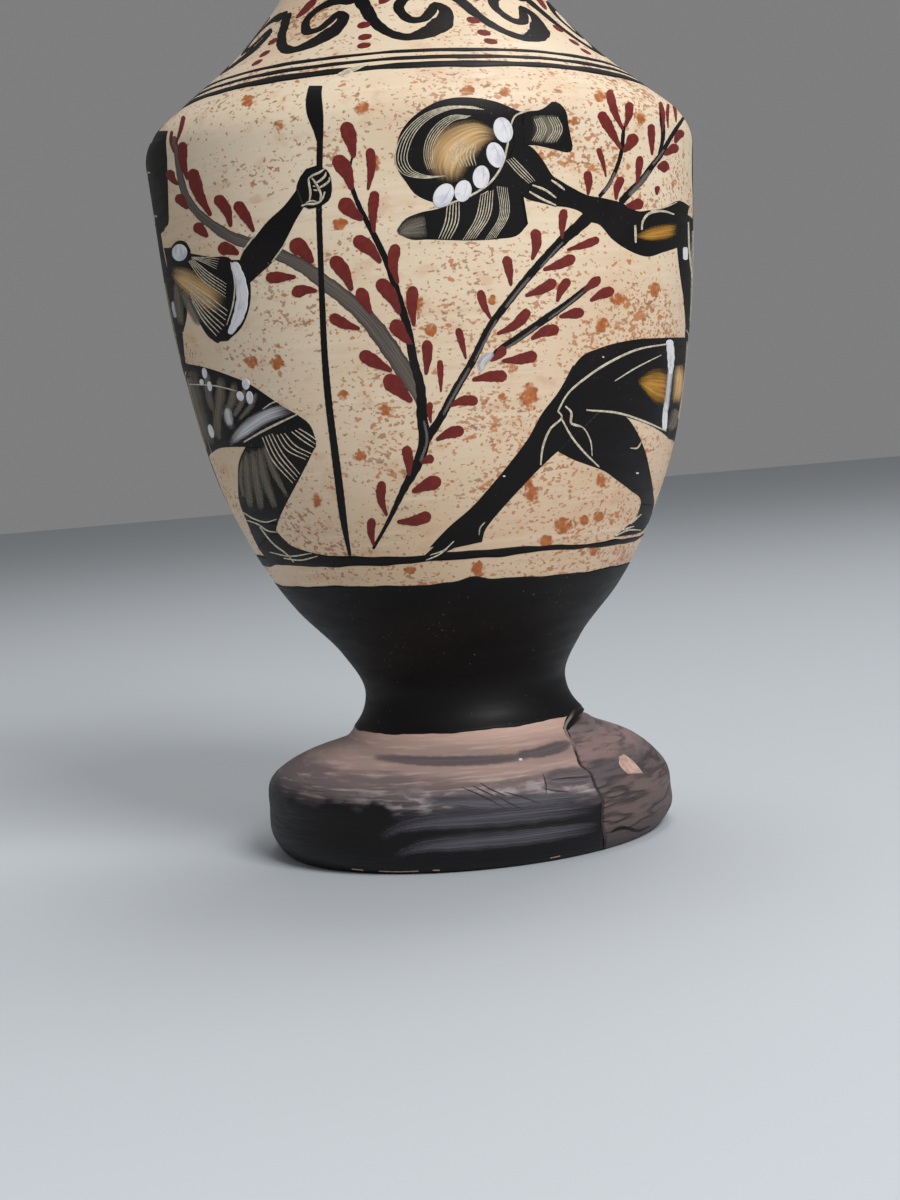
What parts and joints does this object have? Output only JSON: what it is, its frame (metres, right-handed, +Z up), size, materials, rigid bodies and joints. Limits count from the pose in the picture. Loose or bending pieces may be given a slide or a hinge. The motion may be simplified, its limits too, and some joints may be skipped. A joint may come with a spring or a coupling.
{
  "type": "lekythos",
  "caption": "Tall footed oil jug with a swelling body, sloping shoulder, narrow neck, cup mouth and one strap handle, painted on a cream ground; its foot is mended.",
  "frame": {"origin": "on the table under the middle of the foot", "axes": "+Z up along the jug's axis, handle towards +Y, painted front towards -Y, mended side of the foot towards +X"},
  "size_m": [0.11, 0.11, 0.236],
  "materials": {
    "foot_paint": "brushed brown and black paint on clay",
    "adhesive": "dull hardened glue",
    "cream_ground": "satin cream ground with rust specks",
    "black_slip": "satin black slip",
    "maroon_paint": "matt maroon brush paint",
    "white_paint": "chalky white brush paint",
    "ochre_wash": "thin ochre wash",
    "grey_wash": "thinned grey slip"
  },
  "bodies": {
    "root": {"foot": "foot_paint", "foot_fragment": "foot_paint", "repair_adhesive": "adhesive", "body": "cream_ground", "shoulder": "cream_ground", "neck": "black_slip", "mouth": "black_slip", "handle": "black_slip"}
  },
  "joints": []
}
